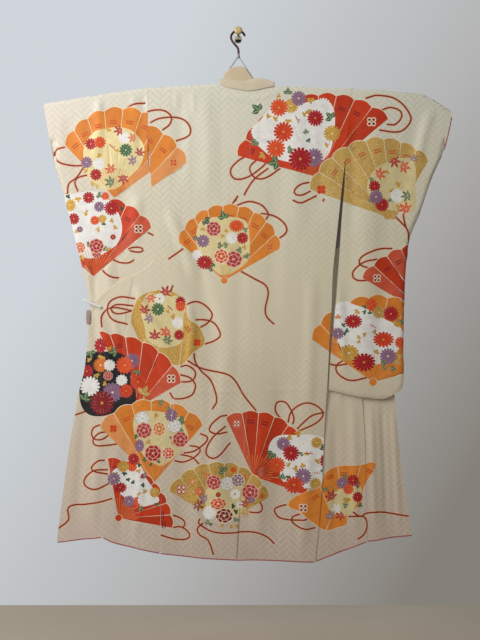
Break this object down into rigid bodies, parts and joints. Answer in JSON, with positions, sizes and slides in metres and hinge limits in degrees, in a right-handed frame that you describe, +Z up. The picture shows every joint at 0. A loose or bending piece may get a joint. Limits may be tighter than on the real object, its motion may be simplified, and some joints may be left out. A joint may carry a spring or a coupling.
{
  "type": "furisode kimono hung on a kimono hanger from a wall hook",
  "caption": "Long-sleeved silk kimono with a fan and flower design, hung flat by its shoulders on a bar hanger from a knob hook, both fronts opened out sideways.",
  "frame": {"origin": "on the wall, at the centre of the back face of the wall hook's plate", "axes": "+X to the viewer's right along the wall, +Z up, +Y into the wall, so the garment hangs at negative Y and below the origin"},
  "size_m": [1.3506, 0.0496, 1.7678],
  "materials": {
    "silk": "satin damask silk, dyed",
    "lining_red": "plain silk lining",
    "tie": "plain ribbon",
    "hanger": "smooth",
    "hanger_wire": "drawn wire",
    "hanger_hook": "dark coated wire",
    "dark_steel": "dark satin",
    "knob": "cream, faceted"
  },
  "bodies": {
    "root": {"shoulder_left": "silk", "shoulder_right": "silk", "back_left": "silk", "back_right": "silk", "front_left": "silk", "front_right": "silk", "okumi_left": "silk", "okumi_right": "silk", "sleeve_left": "silk", "sleeve_right": "silk", "hem_okumi_left": "lining_red", "hem_front_left": "lining_red", "hem_back": "lining_red", "hem_front_right": "lining_red", "hem_okumi_right": "lining_red", "cuff_right": "lining_red", "collar_band": "silk", "collar_left": "silk", "collar_right": "silk", "collar_inner": "silk", "collar_end": "lining_red", "tie": "tie", "hanger_bar": "hanger", "hanger_wire_left": "hanger_wire", "hanger_wire_right": "hanger_wire", "ferrule": "hanger_wire", "hanger_hook": "hanger_hook", "wall_plate": "dark_steel", "hook_bracket": "dark_steel", "knob_stem": "dark_steel", "knob": "knob"}
  },
  "joints": []
}
